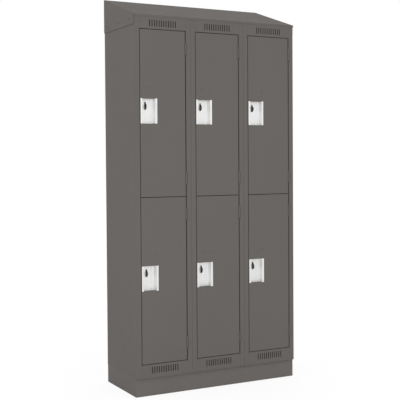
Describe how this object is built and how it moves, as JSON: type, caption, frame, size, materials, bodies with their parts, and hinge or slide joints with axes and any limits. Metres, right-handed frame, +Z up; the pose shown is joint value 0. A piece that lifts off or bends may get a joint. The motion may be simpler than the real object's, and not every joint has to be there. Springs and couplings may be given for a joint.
{
  "type": "two-tier locker",
  "caption": "Free-standing steel locker bank, two tiers high, with inset pan doors, recessed bright pulls with black finger lifts, vented rails, sloped top and closed base.",
  "frame": {"origin": "middle of the footprint, on the floor", "axes": "+X along the bank to the right as seen from the front, -Y out of the front, +Z up"},
  "size_m": [0.9244, 0.385, 1.9936],
  "materials": {
    "body_paint": "satin warm grey",
    "frame_paint": "satin warm grey",
    "door_paint": "satin warm grey",
    "hinge_paint": "satin warm grey",
    "screw_paint": "satin warm grey",
    "pull_steel": "bright brushed",
    "fitting_steel": "zinc plated",
    "pin_steel": "plain",
    "lift_plastic": "black",
    "buffer_rubber": "black"
  },
  "bodies": {
    "locker": {"side_panel_left": "body_paint", "side_panel_right": "body_paint", "partition_left": "body_paint", "partition_right": "body_paint", "back_panel": "body_paint", "top_panel": "body_paint", "bottom_panel": "body_paint", "shelf_1": "body_paint", "shelf_2": "body_paint", "shelf_3": "body_paint", "stile_1_left": "frame_paint", "stile_2_left": "frame_paint", "stile_3_left": "frame_paint", "stile_1_right": "frame_paint", "stile_2_right": "frame_paint", "stile_3_right": "frame_paint", "header_1": "frame_paint", "header_2": "frame_paint", "header_3": "frame_paint", "footer_1": "frame_paint", "footer_2": "frame_paint", "footer_3": "frame_paint", "slope_sheet": "body_paint", "hood_end_left": "body_paint", "hood_end_right": "body_paint", "hood_back": "body_paint", "base_front": "body_paint", "base_back": "body_paint", "base_end_left": "body_paint", "base_end_right": "body_paint", "frame_hinge_leaves": "hinge_paint", "hinge_pins": "pin_steel", "strikes": "fitting_steel", "door_buffers": "buffer_rubber", "coat_hooks": "fitting_steel", "screws": "screw_paint"},
    "door_leaf_1_lower": {"door_1_lower": "door_paint", "pull_1_lower": "pull_steel", "door_hinge_leaves_1_lower": "hinge_paint"},
    "finger_lift_1_lower": {"lift_1_lower": "lift_plastic"},
    "door_leaf_1_upper": {"door_1_upper": "door_paint", "pull_1_upper": "pull_steel", "door_hinge_leaves_1_upper": "hinge_paint"},
    "finger_lift_1_upper": {"lift_1_upper": "lift_plastic"},
    "door_leaf_2_lower": {"door_2_lower": "door_paint", "pull_2_lower": "pull_steel", "door_hinge_leaves_2_lower": "hinge_paint"},
    "finger_lift_2_lower": {"lift_2_lower": "lift_plastic"},
    "door_leaf_2_upper": {"door_2_upper": "door_paint", "pull_2_upper": "pull_steel", "door_hinge_leaves_2_upper": "hinge_paint"},
    "finger_lift_2_upper": {"lift_2_upper": "lift_plastic"},
    "door_leaf_3_lower": {"door_3_lower": "door_paint", "pull_3_lower": "pull_steel", "door_hinge_leaves_3_lower": "hinge_paint"},
    "finger_lift_3_lower": {"lift_3_lower": "lift_plastic"},
    "door_leaf_3_upper": {"door_3_upper": "door_paint", "pull_3_upper": "pull_steel", "door_hinge_leaves_3_upper": "hinge_paint"},
    "finger_lift_3_upper": {"lift_3_upper": "lift_plastic"}
  },
  "joints": [
    {"name": "door_hinge_1_lower", "type": "hinge", "parent": "locker", "child": "door_leaf_1_lower", "pos_m": [-0.1789, -0.1875, 0.56875], "axis": [0, 0, 1], "range_deg": [0, 115]},
    {"name": "lift_slide_1_lower", "type": "slide", "parent": "door_leaf_1_lower", "child": "finger_lift_1_lower", "axis": [0, 0, 1], "range_m": [0, 0.006]},
    {"name": "door_hinge_1_upper", "type": "hinge", "parent": "locker", "child": "door_leaf_1_upper", "pos_m": [-0.1789, -0.1875, 1.38925], "axis": [0, 0, 1], "range_deg": [0, 115]},
    {"name": "lift_slide_1_upper", "type": "slide", "parent": "door_leaf_1_upper", "child": "finger_lift_1_upper", "axis": [0, 0, 1], "range_m": [0, 0.006]},
    {"name": "door_hinge_2_lower", "type": "hinge", "parent": "locker", "child": "door_leaf_2_lower", "pos_m": [0.1259, -0.1875, 0.56875], "axis": [0, 0, 1], "range_deg": [0, 115]},
    {"name": "lift_slide_2_lower", "type": "slide", "parent": "door_leaf_2_lower", "child": "finger_lift_2_lower", "axis": [0, 0, 1], "range_m": [0, 0.006]},
    {"name": "door_hinge_2_upper", "type": "hinge", "parent": "locker", "child": "door_leaf_2_upper", "pos_m": [0.1259, -0.1875, 1.38925], "axis": [0, 0, 1], "range_deg": [0, 115]},
    {"name": "lift_slide_2_upper", "type": "slide", "parent": "door_leaf_2_upper", "child": "finger_lift_2_upper", "axis": [0, 0, 1], "range_m": [0, 0.006]},
    {"name": "door_hinge_3_lower", "type": "hinge", "parent": "locker", "child": "door_leaf_3_lower", "pos_m": [0.4307, -0.1875, 0.56875], "axis": [0, 0, 1], "range_deg": [0, 115]},
    {"name": "lift_slide_3_lower", "type": "slide", "parent": "door_leaf_3_lower", "child": "finger_lift_3_lower", "axis": [0, 0, 1], "range_m": [0, 0.006]},
    {"name": "door_hinge_3_upper", "type": "hinge", "parent": "locker", "child": "door_leaf_3_upper", "pos_m": [0.4307, -0.1875, 1.38925], "axis": [0, 0, 1], "range_deg": [0, 115]},
    {"name": "lift_slide_3_upper", "type": "slide", "parent": "door_leaf_3_upper", "child": "finger_lift_3_upper", "axis": [0, 0, 1], "range_m": [0, 0.006]}
  ]
}
